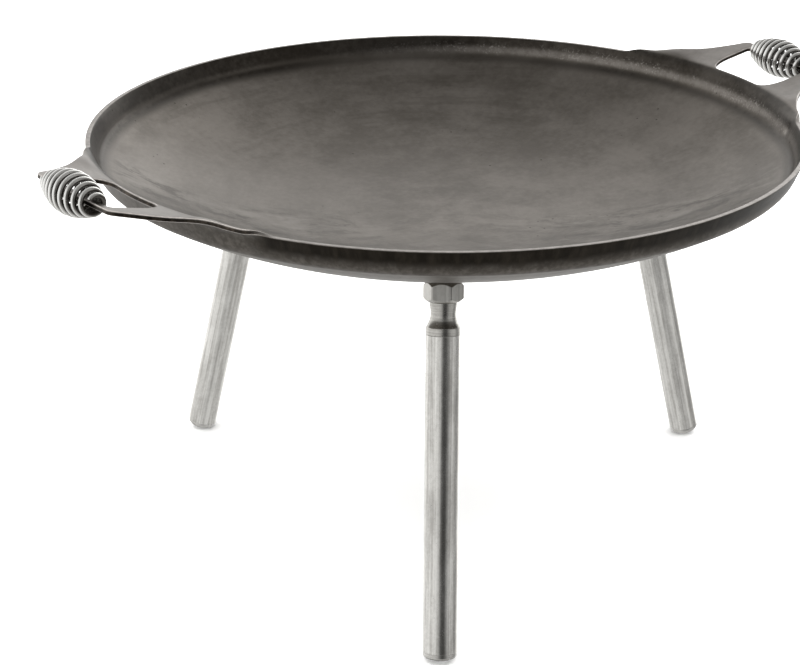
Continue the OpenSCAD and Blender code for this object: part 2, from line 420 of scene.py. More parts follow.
# ---------------------------------------------------------------- swept and turned pieces
def lathe(name, prof, segs=96, close_ends=True):
    """Solid of revolution about local Z from (radius, height) points, in millimetres."""
    v, f, rings = [], [], []
    for r, z in prof:
        if r < 1e-6:
            v.append((0.0, 0.0, z))
            rings.append([len(v) - 1] * segs)
        else:
            ring = []
            for j in range(segs):
                a = 2 * math.pi * j / segs
                v.append((r * math.cos(a), r * math.sin(a), z))
                ring.append(len(v) - 1)
            rings.append(ring)
    for k in range(len(rings) - 1):
        for j in range(segs):
            a, b = rings[k][j], rings[k][(j + 1) % segs]
            c, d = rings[k + 1][(j + 1) % segs], rings[k + 1][j]
            if a == b and c == d:
                continue
            if a == b:
                f.append((a, c, d))
            elif c == d:
                f.append((a, b, c))
            else:
                f.append((a, b, c, d))
    obj = new_object(name, np.array(v) * 0.001, f)
    tidy(obj, 1e-7)
    return obj


def leg_matrix(i):
    a = math.radians(LEG_PHASE + 120 * (i - 1))
    m = Matrix.Rotation(a, 4, "Z") @ Matrix.Translation((LEG_R * 0.001, 0, LEG_Z * 0.001))
    return m @ Matrix.Rotation(math.pi - SPLAY, 4, "Y")


def rounded(points, rad, n=4):
    """Profile with its inner corners rounded by rad (a number or one per corner)."""
    out = [points[0]]
    for i in range(1, len(points) - 1):
        p0, p1, p2 = (np.array(points[k], float) for k in (i - 1, i, i + 1))
        r = rad[i] if isinstance(rad, (list, tuple)) else rad
        a, b = p0 - p1, p2 - p1
        la, lb = np.linalg.norm(a), np.linalg.norm(b)
        r = min(r, la * 0.45, lb * 0.45)
        if r <= 0:
            out.append(tuple(p1))
            continue
        s, e = p1 + a / la * r, p1 + b / lb * r
        for k in range(n + 1):
            t = k / n
            out.append(tuple(s * (1 - t) ** 2 + p1 * 2 * t * (1 - t) + e * t * t))
    out.append(points[-1])
    return out


SEAT = NUT_H
NECK_END = SEAT + NECK_LEN
CONE_END = NECK_END + CONE_LEN
TUBE_START = CONE_END + COLLAR_LEN
FOOT_C = (LEG_Z - (FOOT_R - 0.2)) / math.cos(SPLAY)
FOOT_EDGE = FOOT_C + math.sqrt(FOOT_R ** 2 - TUBE_R ** 2)
TUBE_END = FOOT_EDGE - 3.0
BORE_R = TUBE_R - TUBE_WALL


def nut_mesh(name):
    cr = NUT_AF / math.sqrt(3)
    segs = 144
    zs = [-0.24, 0.1, 0.4, 0.7, 0.9, 1.1, 1.3, 1.5, 1.75, 2.0, 2.25, 2.5, 2.75, 3.0, 3.25, 3.5, 3.75, 4.2, 6.4, 8.8, 10.2, 10.8, 11.1, 11.35, 11.6, 11.85, 12.05, 12.25, 12.45, 12.6, 12.78]
    v, f, rings = [], [], []

    def ring(rad_of, z):
        out = []
        for j in range(segs):
            a = 2 * math.pi * j / segs
            r = rad_of(a)
            b = a + math.radians(30 + NUT_TURN)
            v.append((r * math.cos(b), r * math.sin(b), z))
            out.append(len(v) - 1)
        rings.append(out)

    def hexa(a):
        m = (a % (math.pi / 3)) - math.pi / 6
        h = NUT_AF / 2 / math.cos(m)
        return -math.log(math.exp(-9 * h) + math.exp(-9 * (cr - 0.12))) / 9 + 0.0

    ring(lambda a: 7.08, -0.24)
    ring(lambda a: 8.6, -0.24)
    for z in zs:
        lim = min(8.75 + 0.92 * (z + 0.24), 9.6 + 1.2 * (NUT_H - 0.02 - z))
        ring(lambda a: min(hexa(a), lim), z)
    ring(lambda a: 9.4, NUT_H - 0.02)
    ring(lambda a: 7.08, NUT_H - 0.02)
    ring(lambda a: 7.08, -0.24)
    for k in range(len(rings) - 1):
        for j in range(segs):
            f.append((rings[k][j], rings[k][(j + 1) % segs], rings[k + 1][(j + 1) % segs], rings[k + 1][j]))
    obj = new_object(name, np.array(v) * 0.001, f)
    tidy(obj, 1e-6)
    return obj


def stud_mesh(name):
    """Turned stud: threaded screw, shoulder, waisted neck, cone, collar and spigot."""
    segs, pitch, depth = 96, 2.0, 1.1
    v, f, rings = [], [], []
    z = 0.85
    zs = []
    while z < SEAT - 0.01:
        zs.append(z)
        z += 0.14
    rings.append([None])
    v.append((0, 0, 0.8))
    rings[0] = [0] * segs
    for z in zs:
        ring = []
        for j in range(segs):
            a = 2 * math.pi * j / segs
            u = ((z / pitch - j / segs) % 1.0)
            tri_ = abs(u - 0.5) * 2
            tri_ = min(1.0, max(0.0, (tri_ - 0.08) / 0.8))
            r = SCREW_R - 0.03 - depth * tri_
            r = min(r, SCREW_R - 0.9 + (z - 0.8) * 1.0)
            if z > SEAT - 1.2:
                r = min(r, SCREW_R - depth)
            v.append((r * math.cos(a), r * math.sin(a), z))
            ring.append(len(v) - 1)
        rings.append(ring)
    prof = [(SCREW_R - depth, SEAT + 0.01), (NECK_R_TOP - 0.35, SEAT + 0.01), (NECK_R_TOP, SEAT + 0.4),
            (NECK_R_TOP, SEAT + 0.9), (NECK_R_LOW + 0.06, NECK_END - 3.4)]
    flare = [(NECK_R_LOW + (TUBE_R - 0.10 - NECK_R_LOW) * t ** 1.9, NECK_END - 2.4 + t * (CONE_END - NECK_END + 2.4)) for t in np.linspace(0, 1, 9)]
    tail = [(TUBE_R - 0.02, CONE_END + 0.3),
            (TUBE_R - 0.02, TUBE_START - 0.15), (TUBE_R - 0.14, TUBE_START - 0.02),
            (BORE_R - 0.06, TUBE_START - 0.02), (BORE_R - 0.06, TUBE_START + 11), (BORE_R - 1.0, TUBE_START + 12), (0.0, TUBE_START + 12)]
    prof = rounded(prof, [0, 0.2, 0.2, 0.4, 0.0], 4) + flare + rounded(tail, [0, 0.05, 0.05, 0.1, 0.3, 0.3, 0], 4)
    for r, z in prof:
        if r < 1e-6:
            v.append((0, 0, z))
            rings.append([len(v) - 1] * segs)
            continue
        ring = []
        for j in range(segs):
            a = 2 * math.pi * j / segs
            v.append((r * math.cos(a), r * math.sin(a), z))
            ring.append(len(v) - 1)
        rings.append(ring)
    for k in range(len(rings) - 1):
        for j in range(segs):
            q = (rings[k][j], rings[k][(j + 1) % segs], rings[k + 1][(j + 1) % segs], rings[k + 1][j])
            q = tuple(dict.fromkeys(q))
            if len(q) > 2:
                f.append(q)
    obj = new_object(name, np.array(v) * 0.001, f)
    tidy(obj, 1e-7)
    return obj


def tube_mesh(name):
    n = 24
    z0, z1 = TUBE_START + 0.02, TUBE_END - 0.03
    prof = [(BORE_R + 0.02, z0 + 2), (BORE_R + 0.02, z0), (TUBE_R - 0.10, z0), (TUBE_R - 0.02, z0 + 0.12)]
    prof += [(TUBE_R - 0.02, z0 + 1 + (z1 - z0 - 2) * i / n) for i in range(n + 1)]
    prof += [(TUBE_R - 0.02, z1 - 0.1), (TUBE_R - 0.04, z1), (BORE_R + 0.02, z1), (BORE_R + 0.02, z1 - 2)]
    prof += [(BORE_R + 0.02, z0 + 2)]
    return lathe(name, prof, 128)


def foot_mesh(name):
    prof = [(0.0, TUBE_END - 9.9), (BORE_R - 0.3, TUBE_END - 9.9), (BORE_R - 0.02, TUBE_END - 9.4), (BORE_R - 0.02, TUBE_END + 0.02),
            (TUBE_R - 0.05, TUBE_END + 0.02), (TUBE_R - 0.03, TUBE_END + 0.1), (TUBE_R - 0.03, FOOT_EDGE - 1.2)]
    a0 = math.asin((TUBE_R - 1.2) / FOOT_R)
    side, dome = np.array(prof[-1]), np.array([FOOT_R * math.sin(a0), FOOT_C + FOOT_R * math.cos(a0)])
    corner = np.array([TUBE_R - 0.03, dome[1] - math.tan(a0) * (TUBE_R - 0.03 - dome[0])])
    for i in range(1, 9):
        t = i / 9
        prof.append(tuple(side * (1 - t) ** 2 + corner * 2 * t * (1 - t) + dome * t * t))
    for i in range(21):
        a = a0 * (1 - i / 20)
        r, z = FOOT_R * math.sin(a), FOOT_C + FOOT_R * math.cos(a)
        prof.append((r, z))
    return lathe(name, prof, 128)


def coil_mesh(name, mirror):
    sides, per = 14, 44
    n = per * COIL_TURNS

    def at(t):
        y = COIL_LEN * (t - 0.5)
        r = COIL_END_R + (COIL_MID_R - COIL_END_R) * max(0.0, math.cos(math.pi / 2 * abs(y) / (COIL_LEN / 2))) ** 1.05
        a = 2 * math.pi * COIL_TURNS * t + math.radians(40)
        return np.array([r * math.cos(a), y, r * math.sin(a)]), np.array([math.cos(a), 0.0, math.sin(a)])

    v, f = [], []
    for i in range(n + 1):
        t = 0.0012 + 0.9976 * i / n
        p, o = at(t)
        d = at(min(1.0, t + 0.0005))[0] - at(max(0.0, t - 0.0005))[0]
        d /= np.linalg.norm(d)
        u = o - d * o.dot(d)
        u /= np.linalg.norm(u)
        w = np.cross(d, u)
        for k in range(sides):
            b = 2 * math.pi * k / sides
            v.append(p + WIRE_R * (u * math.cos(b) + w * math.sin(b)))
    for i in range(n):
        for k in range(sides):
            a, b = i * sides + k, i * sides + (k + 1) % sides
            f.append((a, a + sides, b + sides, b))
    for end, i in ((-1, 0), (1, n)):
        p, o = at(0.0012 + 0.9976 * i / n)
        q = at(0.0012 + 0.9976 * abs(i - 3) / n)[0]
        d = (p - q) / np.linalg.norm(p - q)
        base = len(v)
        for k in range(sides):
            v.append((v[i * sides + k] - p) * 0.8 + p + d * 0.18)
        v.append(p + d * 0.2)
        for k in range(sides):
            a, b = i * sides + k, i * sides + (k + 1) % sides
            c, e = base + (k + 1) % sides, base + k
            f.append((a, b, c, e) if i == 0 else (b, a, e, c))
            f.append((e, c, base + sides) if i == 0 else (c, e, base + sides))
    v = np.array(v)
    outer_side = [math.cos(2 * math.pi * k / sides) for _ in range(n + 1) for k in range(sides)]
    outer_side += [0.0] * (len(v) - len(outer_side))
    obj = new_object(name, v * 0.001, f)
    obj.data.attributes.new("outer_side", "FLOAT", "POINT").data.foreach_set("value", outer_side)
    tidy(obj, 1e-7)
    pm = bar_mid(math.hypot(BAR_X, COIL_LEN / 2 - 2))
    m = Matrix.Rotation(math.radians(-EAR_SKEW), 4, "Z") @ Matrix.Translation((BAR_X * 0.001, COIL_SHIFT * 0.001, pm * 0.001))
    if mirror:
        obj.data.transform(Matrix.Scale(-1, 4, (1, 0, 0)) @ m)
        obj.data.flip_normals()
    else:
        obj.data.transform(m)
    return obj


def bar_mid(r):
    """Height of the middle of the ear plate at radius r, as in the CAD source."""
    lip = np.array([R - LIP_W, RIM_Z])
    c = lip - EAR_DROP * along(SLOPE_WALL) + (EAR_BEND_R + T) * np.array([math.sin(SLOPE_WALL), -math.cos(SLOPE_WALL)])
    p = c - (EAR_BEND_R + T / 2) * np.array([math.sin(TILT), -math.cos(TILT)])
    return p[1] + (r - p[0]) * math.tan(TILT)


coils = {"left": coil_mesh("grip_spiral_left", True), "right": coil_mesh("grip_spiral_right", False)}
legs = {}
for i in (1, 2, 3):
    m = leg_matrix(i)
    parts = {"nut": nut_mesh(f"leg_nut_body_{i}"), "stud": stud_mesh(f"leg_stud_body_{i}"),
             "tube": tube_mesh(f"leg_tube_body_{i}"), "foot": foot_mesh(f"foot_dome_{i}")}
    for k, o in parts.items():
        own = o.data.attributes.new("leg_co", "FLOAT_VECTOR", "POINT")
        own.data.foreach_set("vector", [c for vert in o.data.vertices for c in vert.co])
        o.data.transform(m)
        if k == "foot":
            for vert in o.data.vertices:
                vert.co.z = max(vert.co.z, 0.00002)
    legs[i] = parts


# ---------------------------------------------------------------- materials
class Graph:
    def __init__(self, name):
        self.mat = bpy.data.materials.new(name)
        self.mat.use_nodes = True
        self.t = self.mat.node_tree
        self.t.nodes.clear()
        self.out = self.t.nodes.new("ShaderNodeOutputMaterial")
        self.bsdf = self.t.nodes.new("ShaderNodeBsdfPrincipled")
        self.t.links.new(self.bsdf.outputs[0], self.out.inputs[0])

    def node(self, kind, **kw):
        n = self.t.nodes.new(kind)
        for k, v in kw.items():
            setattr(n, k, v)
        return n

    def link(self, a, b):
        self.t.links.new(a, b)

    def put(self, sock, value):
        if hasattr(value, "is_output") or isinstance(value, bpy.types.NodeSocket):
            self.link(value, sock)
        else:
            sock.default_value = value

    def math(self, op, a, b=None, c=None, clamp=False):
        n = self.node("ShaderNodeMath", operation=op, use_clamp=clamp)
        self.put(n.inputs[0], a)
        if b is not None:
            self.put(n.inputs[1], b)
        if c is not None:
            self.put(n.inputs[2], c)
        return n.outputs[0]

    def coords(self):
        return self.node("ShaderNodeTexCoord").outputs["Object"]

    def own(self, name, out):
        return self.node("ShaderNodeAttribute", attribute_name=name).outputs[out]

    def xyz(self, v):
        n = self.node("ShaderNodeSeparateXYZ")
        self.link(v, n.inputs[0])
        return n.outputs

    def vec(self, x, y, z):
        n = self.node("ShaderNodeCombineXYZ")
        for s, v in zip(n.inputs, (x, y, z)):
            self.put(s, v)
        return n.outputs[0]

    def noise(self, v, scale, detail=4.0, rough=0.55, dist=0.0):
        n = self.node("ShaderNodeTexNoise")
        self.link(v, n.inputs["Vector"])
        n.inputs["Scale"].default_value = scale
        n.inputs["Detail"].default_value = detail
        n.inputs["Roughness"].default_value = rough
        n.inputs["Distortion"].default_value = dist
        return n.outputs[0]

    def voronoi(self, v, scale, feature="F1"):
        n = self.node("ShaderNodeTexVoronoi", feature=feature)
        self.link(v, n.inputs["Vector"])
        n.inputs["Scale"].default_value = scale
        return n.outputs["Distance"]

    def band(self, x, a, b, lo=0.0, hi=1.0):
        n = self.node("ShaderNodeMapRange", interpolation_type="SMOOTHSTEP", clamp=True)
        self.put(n.inputs["Value"], x)
        n.inputs["From Min"].default_value, n.inputs["From Max"].default_value = a, b
        n.inputs["To Min"].default_value, n.inputs["To Max"].default_value = lo, hi
        return n.outputs[0]

    def mix(self, f, a, b):
        n = self.node("ShaderNodeMix", data_type="RGBA")
        self.put(n.inputs[0], f)
        self.put(n.inputs[6], a if not isinstance(a, tuple) else (*a, 1.0))
        self.put(n.inputs[7], b if not isinstance(b, tuple) else (*b, 1.0))
        return n.outputs[2]

    def bump(self, height, strength, dist, prev=None):
        n = self.node("ShaderNodeBump")
        n.inputs["Strength"].default_value = strength
        n.inputs["Distance"].default_value = dist
        self.link(height, n.inputs["Height"])
        if prev is not None:
            self.link(prev, n.inputs["Normal"])
        return n.outputs[0]

    def set(self, **kw):
        for k, v in kw.items():
            self.put(self.bsdf.inputs[k.replace("_", " ")], v)
        return self.mat


def pan_material():
    g = Graph("pan_steel_plate")
    co = g.coords()
    x, y, z = g.xyz(co)
    r = g.math("SQRT", g.math("ADD", g.math("MULTIPLY", x, x), g.math("MULTIPLY", y, y)))
    rs = g.math("MAXIMUM", r, 0.02)
    ux, uy = g.math("DIVIDE", x, rs), g.math("DIVIDE", y, rs)
    nx, ny, nz = g.xyz(g.node("ShaderNodeNewGeometry").outputs["Normal"])
    nr = g.math("ADD", g.math("MULTIPLY", nx, ux), g.math("MULTIPLY", ny, uy))
    # marks that run round the dish, short and broken, seen only in patches
    wob = g.math("MULTIPLY", g.noise(co, 14.0, 2.0, 0.5), 0.010)
    rw = g.math("ADD", r, wob)
    sv = g.vec(g.math("MULTIPLY", ux, 3.2), g.math("MULTIPLY", uy, 3.2), g.math("MULTIPLY", rw, 120.0))
    streak = g.noise(sv, 1.0, 4.0, 0.55)
    sv2 = g.vec(g.math("MULTIPLY", ux, 9.0), g.math("MULTIPLY", uy, 9.0), g.math("MULTIPLY", rw, 520.0))
    fine = g.noise(sv2, 1.0, 3.0, 0.6)
    patch = g.noise(co, 7.0, 2.0, 0.5, 0.3)
    blotch = g.noise(co, 11.0, 3.0, 0.5, 0.6)
    cloud = g.noise(co, 38.0, 4.0, 0.6)
    grain = g.noise(co, 1100.0, 2.0, 0.6)
    mottle = g.noise(co, 210.0, 3.0, 0.65)
    ring = g.math("MULTIPLY", g.band(r, 0.085, 0.155), g.band(patch, 0.41, 0.57))
    sv3 = g.vec(g.math("MULTIPLY", ux, 2.4), g.math("MULTIPLY", uy, 2.4), g.math("MULTIPLY", rw, 34.0))
    swipe = g.noise(sv3, 1.0, 3.0, 0.5, 0.4)
    pits = g.band(g.voronoi(co, 120.0), 0.03, 0.11, 1.0, 0.0)
    pits = g.math("MULTIPLY", pits, g.band(g.noise(co, 30.0, 2.0, 0.5), 0.55, 0.65))
    tone = g.math("ADD", g.math("MULTIPLY", blotch, 0.52), g.math("MULTIPLY", cloud, 0.26))
    tone = g.math("ADD", tone, g.math("MULTIPLY", mottle, 0.26))
    tone = g.math("ADD", tone, g.math("MULTIPLY", swipe, 0.30))
    tone = g.math("SUBTRACT", tone, 0.17)
    col = g.mix(g.band(tone, 0.34, 0.66), (0.108, 0.100, 0.087), (0.186, 0.176, 0.158))
    light_mark = g.math("MULTIPLY", g.band(streak, 0.52, 0.68), ring)
    dark_mark = g.math("MULTIPLY", g.band(streak, 0.47, 0.34), ring)
    col = g.mix(g.math("MULTIPLY", light_mark, 0.20), col, (0.240, 0.231, 0.211))
    col = g.mix(g.math("MULTIPLY", dark_mark, 0.24), col, (0.066, 0.060, 0.050))
    # wiping strokes across the front side of the dish; in front of them a painted shade, and to their left a paler
    # patch that is a painted highlight
    xp = g.math("SUBTRACT", g.math("MULTIPLY", x, 0.829), g.math("MULTIPLY", y, 0.559))
    yp = g.math("ADD", g.math("MULTIPLY", x, 0.559), g.math("MULTIPLY", y, 0.829))
    yw = g.math("ADD", yp, g.math("MULTIPLY", g.math("SUBTRACT", patch, 0.5), 0.05))
    stroke = g.noise(g.vec(g.math("MULTIPLY", xp, 27.0), g.math("MULTIPLY", g.math("ADD", yw, g.math("MULTIPLY", cloud, 0.012)), 82.0), 0.0), 1.0, 5.0, 0.72, 0.4)
    zone = g.math("MULTIPLY", g.band(yw, -0.096, -0.072), g.band(yw, -0.008, -0.034))
    zone = g.math("MULTIPLY", zone, g.band(g.math("ABSOLUTE", xp), 0.02, 0.12, 0.40, 1.0))
    zone = g.math("MULTIPLY", zone, g.math("MULTIPLY", g.band(r, 0.217, 0.206), g.band(blotch, 0.32, 0.50, 0.45, 1.0)))
    front_shade = g.math("MULTIPLY", g.band(yw, -0.040, -0.078), g.band(r, 0.217, 0.206))
    left_sheen = g.math("MULTIPLY", g.band(xp, -0.01, -0.10), g.math("MULTIPLY", g.band(yw, -0.062, -0.040), g.band(yw, 0.085, 0.020)))
    left_sheen = g.math("MULTIPLY", left_sheen, g.band(r, 0.212, 0.195))
    col = g.mix(g.math("MULTIPLY", front_shade, 0.26), col, (0.084, 0.078, 0.067))
    col = g.mix(g.math("MULTIPLY", left_sheen, 0.30), col, (0.242, 0.233, 0.214))
    col = g.mix(g.math("MULTIPLY", g.math("MULTIPLY", g.band(stroke, 0.51, 0.38), zone), 0.80), col, (0.058, 0.053, 0.045))
    col = g.mix(g.math("MULTIPLY", g.math("MULTIPLY", g.band(stroke, 0.53, 0.66), zone), 0.55), col, (0.250, 0.242, 0.223))
    col = g.mix(g.math("MULTIPLY", pits, 0.75), col, (0.030, 0.026, 0.021))
    # ears: cleaner plate than the cooking surface
    ear = g.band(r, 0.229, 0.234)
    col = g.mix(g.math("MULTIPLY", ear, 0.75), col, g.mix(g.band(tone, 0.38, 0.62), (0.205, 0.198, 0.186), (0.265, 0.258, 0.244)))
    # inner wall: darkened above, partly soot and partly painted shade that reaches lower on the left side; a painted
    # highlight band on the bend with painted glints; a painted shade line in the crease at its foot
    top_face = g.band(nz, 0.05, 0.20)
    inner = g.math("MULTIPLY", top_face, g.band(r, 0.2315, 0.2290))
    zn = g.math("ADD", z, g.math("MULTIPLY", g.math("SUBTRACT", cloud, 0.5), 0.0014))
    shade_side = g.band(g.math("ADD", g.math("MULTIPLY", ux, -0.588), g.math("MULTIPLY", uy, 0.809)), 0.22, 0.72)
    soot_and_shade = g.math("MULTIPLY", inner, g.band(g.math("ADD", zn, g.math("MULTIPLY", shade_side, 0.0042)), 0.2590, 0.2650))
    col = g.mix(g.math("MULTIPLY", soot_and_shade, g.band(g.math("ADD", blotch, g.math("MULTIPLY", g.math("SUBTRACT", mottle, 0.5), 0.6)), 0.25, 0.70, 0.97, 0.72)), col, (0.024, 0.021, 0.017))
    # painted shade line in the crease at the foot of the wall
    foot = g.math("MULTIPLY", g.band(zn, 0.2506, 0.2550), g.band(zn, 0.2592, 0.2554))
    foot = g.math("MULTIPLY", foot, inner)
    foot = g.math("MULTIPLY", foot, g.band(g.math("ADD", patch, g.math("MULTIPLY", g.math("SUBTRACT", mottle, 0.5), 0.5)), 0.34, 0.62, 0.68, 1.0))
    to_back = g.math("ADD", g.math("MULTIPLY", ux, 0.559), g.math("MULTIPLY", uy, 0.829))
    col = g.mix(g.math("MULTIPLY", foot, g.band(to_back, 0.80, 0.97, 0.92, 0.50)), col, (0.022, 0.019, 0.015))
    # painted highlight band on the bend, weaker on the left side
    bend_highlight = g.math("MULTIPLY", g.math("MULTIPLY", g.band(zn, 0.2566, 0.2594), g.band(zn, 0.2636, 0.2602)), inner)
    bend_highlight = g.math("MULTIPLY", g.math("MULTIPLY", bend_highlight, g.math("SUBTRACT", 1.0, shade_side)), g.band(mottle, 0.30, 0.66, 0.35, 1.0))
    col = g.mix(g.math("MULTIPLY", bend_highlight, 0.50), col, (0.235, 0.228, 0.212))
    # painted glints: small bright specks on the bend
    bend_glints = g.math("MULTIPLY", g.band(g.noise(co, 620.0, 2.0, 0.6), 0.54, 0.68), g.band(cloud, 0.36, 0.60))
    bend_glints = g.math("MULTIPLY", bend_glints, g.math("MULTIPLY", g.band(zn, 0.2560, 0.2590), g.band(zn, 0.2672, 0.2615)))
    bend_glints = g.math("MULTIPLY", g.math("MULTIPLY", bend_glints, inner), g.math("SUBTRACT", 1.0, shade_side))
    col = g.mix(g.math("MULTIPLY", bend_glints, 0.62), col, (0.34, 0.33, 0.31))
    # outer wall under the rim: a dark band, partly soot with runs down it and partly painted shade standing in for the
    # shaded floor it reflects; lighter lower down and under the ears
    runs = g.noise(g.vec(g.math("MULTIPLY", ux, 46.0), g.math("MULTIPLY", uy, 46.0), g.math("MULTIPLY", z, 60.0)), 1.0, 4.0, 0.6)
    outside = g.math("MULTIPLY", g.band(nr, 0.35, 0.62), g.band(nz, -0.05, -0.18))
    low = g.mix(g.band(mottle, 0.36, 0.68), (0.086, 0.080, 0.070), (0.140, 0.132, 0.118))
    high = g.mix(g.band(runs, 0.34, 0.72), (0.0135, 0.0115, 0.0085), (0.030, 0.026, 0.020))
    zr = g.math("ADD", z, g.math("MULTIPLY", g.math("SUBTRACT", runs, 0.5), 0.005))
    at_ear = g.math("SUBTRACT", g.math("MULTIPLY", g.math("ABSOLUTE", ux), 0.9954), g.math("MULTIPLY", uy, 0.0958))
    at_ear = g.band(at_ear, 0.895, 0.935)
    wall_soot_shade = g.math("MULTIPLY", g.band(zr, 0.2540, 0.2625), g.math("SUBTRACT", 1.0, g.math("MULTIPLY", at_ear, 0.85)))
    col = g.mix(outside, col, g.mix(wall_soot_shade, low, high))
    # rim lip and rounded ear corners painted light, partly metal rubbed clean and partly painted highlight; cut faces
    # of the ears dark with rust
    lip, cut, wear_and_highlight = g.own("lip", "Fac"), g.own("cut", "Fac"), g.own("wear_and_highlight", "Fac")
    bare_and_highlight = g.mix(g.band(mottle, 0.38, 0.62), (0.30, 0.29, 0.275), (0.40, 0.39, 0.37))
    rust = g.mix(g.band(mottle, 0.40, 0.66), (0.018, 0.015, 0.012), (0.075, 0.062, 0.048))
    col = g.mix(g.math("MULTIPLY", lip, 0.60), col, bare_and_highlight)
    col = g.mix(g.math("MULTIPLY", cut, 0.94), col, rust)
    col = g.mix(g.math("MULTIPLY", wear_and_highlight, 0.85), col, bare_and_highlight)
    warm = g.node("ShaderNodeVectorMath", operation="MULTIPLY")
    g.put(warm.inputs[0], col)
    warm.inputs[1].default_value = (1.012, 0.968, 0.962)
    col = warm.outputs[0]
    rough = g.math("ADD", 0.30, g.math("MULTIPLY", blotch, 0.10))
    rough = g.math("ADD", rough, g.math("MULTIPLY", fine, 0.08))
    rough = g.math("ADD", rough, g.math("MULTIPLY", pits, 0.25))
    rough = g.math("ADD", rough, g.math("MULTIPLY", outside, 0.12))
    h = g.math("ADD", g.math("MULTIPLY", streak, 0.10), g.math("MULTIPLY", fine, 0.30))
    b = g.bump(h, 0.12, 0.0005)
    b = g.bump(g.math("ADD", g.math("MULTIPLY", mottle, 0.5), g.math("MULTIPLY", cloud, 0.8)), 0.10, 0.0006, b)
    b = g.bump(g.math("SUBTRACT", g.math("MULTIPLY", grain, 0.35), g.math("MULTIPLY", pits, 1.4)), 0.22, 0.00035, b)
    metal = g.math("SUBTRACT", 1.0, g.math("ADD", g.math("MULTIPLY", wear_and_highlight, 0.55), g.math("MULTIPLY", lip, 0.14)))
    return g.set(Base_Color=col, Metallic=metal, Roughness=rough, Normal=b)


def leg_material(name, light, dark, rough0, turned_marks=False, dark_ring_z=None):
    g = Graph(name)
    co = g.own("leg_co", "Vector")
    x, y, z = g.xyz(co)
    long_v = g.vec(g.math("MULTIPLY", x, 640.0), g.math("MULTIPLY", y, 640.0), g.math("MULTIPLY", z, 7.0))
    if turned_marks:
        long_v = g.vec(g.math("MULTIPLY", x, 30.0), g.math("MULTIPLY", y, 30.0), g.math("MULTIPLY", z, 1700.0))
    line = g.noise(long_v, 1.0, 3.0, 0.55)
    stain = g.noise(g.vec(g.math("MULTIPLY", x, 170.0), g.math("MULTIPLY", y, 170.0), g.math("MULTIPLY", z, 34.0)), 1.0, 4.0, 0.6)
    spot = g.noise(co, 420.0, 3.0, 0.6)
    big = g.noise(co, 20.0, 2.0, 0.5)
    fleck = g.band(g.noise(co, 900.0, 2.0, 0.5), 0.66, 0.74)
    tone = g.math("ADD", g.math("MULTIPLY", line, 0.40), g.math("MULTIPLY", stain, 0.34))
    tone = g.math("ADD", tone, g.math("ADD", g.math("MULTIPLY", spot, 0.12), g.math("MULTIPLY", big, 0.10)))
    col = g.mix(g.band(tone, 0.36, 0.60), dark, light)
    col = g.mix(g.math("MULTIPLY", fleck, 0.22), col, tuple(c * 0.4 for c in dark))
    if dark_ring_z:
        # darker ring round the part at the given height
        edge = g.math("ADD", z, g.math("MULTIPLY", g.math("SUBTRACT", spot, 0.5), 0.0009))
        col = g.mix(g.math("MULTIPLY", g.band(edge, dark_ring_z - 0.0009, dark_ring_z + 0.0006), 0.85), col, (0.085, 0.080, 0.072))
    rough = g.math("ADD", rough0, g.math("ADD", g.math("MULTIPLY", stain, 0.12), g.math("MULTIPLY", fleck, 0.10)))
    b = g.bump(line, 0.06, 0.0002)
    b = g.bump(spot, 0.06, 0.00015, b)
    return g.set(Base_Color=col, Metallic=1.0, Roughness=rough, Normal=b)


def wire_material():
    g = Graph("grip_wire_plated")
    co = g.coords()
    big = g.noise(co, 90.0, 3.0, 0.5)
    spot = g.noise(co, 700.0, 3.0, 0.6)
    col = g.mix(g.band(big, 0.35, 0.65), (0.43, 0.42, 0.40), (0.56, 0.55, 0.53))
    # painted highlight along the outer crest of each turn of wire
    col = g.mix(g.band(g.own("outer_side", "Fac"), 0.60, 0.93), col, (0.77, 0.765, 0.75))
    col = g.mix(g.band(spot, 0.62, 0.76, 0.0, 0.35), col, (0.30, 0.29, 0.27))
    # painted shade on the sides of the wire that face the gaps between the turns
    gap_shade = g.band(g.math("ADD", g.own("outer_side", "Fac"), g.math("MULTIPLY", g.math("SUBTRACT", big, 0.5), 0.5)), 0.62, -0.15)
    col = g.mix(g.math("MULTIPLY", gap_shade, 0.9), col, (0.055, 0.050, 0.043))
    rough = g.math("ADD", 0.17, g.math("MULTIPLY", spot, 0.16))
    b = g.bump(spot, 0.05, 0.0002)
    return g.set(Base_Color=col, Metallic=1.0, Roughness=rough, Normal=b)


def floor_material():
    g = Graph("floor_pale")
    co = g.coords()
    n = g.noise(co, 3.0, 3.0, 0.5)
    col = g.mix(n, (0.90, 0.90, 0.895), (0.93, 0.93, 0.925))
    return g.set(Base_Color=col, Roughness=0.75)


mat_pan = pan_material()
mat_wire = wire_material()
mat_tube = leg_material("leg_steel_drawn", (0.73, 0.72, 0.695), (0.40, 0.39, 0.37), 0.19)
mat_stud = leg_material("stud_steel_turned", (0.50, 0.49, 0.465), (0.35, 0.34, 0.32), 0.17, True)
mat_foot = leg_material("foot_steel_turned", (0.60, 0.59, 0.57), (0.42, 0.41, 0.39), 0.22, True, FOOT_EDGE * 0.001)
mat_nut = leg_material("nut_steel_satin", (0.54, 0.53, 0.505), (0.36, 0.35, 0.33), 0.28)


def dress(obj, mat, body, node):
    obj.data.materials.clear()
    obj.data.materials.append(mat)
    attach(obj, body)
    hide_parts(node)


dress(pan, mat_pan, "pan", "pan")
for side, o in coils.items():
    dress(o, mat_wire, f"grip_{side}", f"grip_coil_{side}")
for i, p in legs.items():
    dress(p["nut"], mat_nut, "pan", f"leg_nut_{i}")
    dress(p["stud"], mat_stud, f"leg_{i}_stud", f"leg_stud_{i}")
    dress(p["tube"], mat_tube, f"leg_{i}", f"leg_tube_{i}")
    dress(p["foot"], mat_foot, f"leg_{i}", f"foot_cap_{i}")


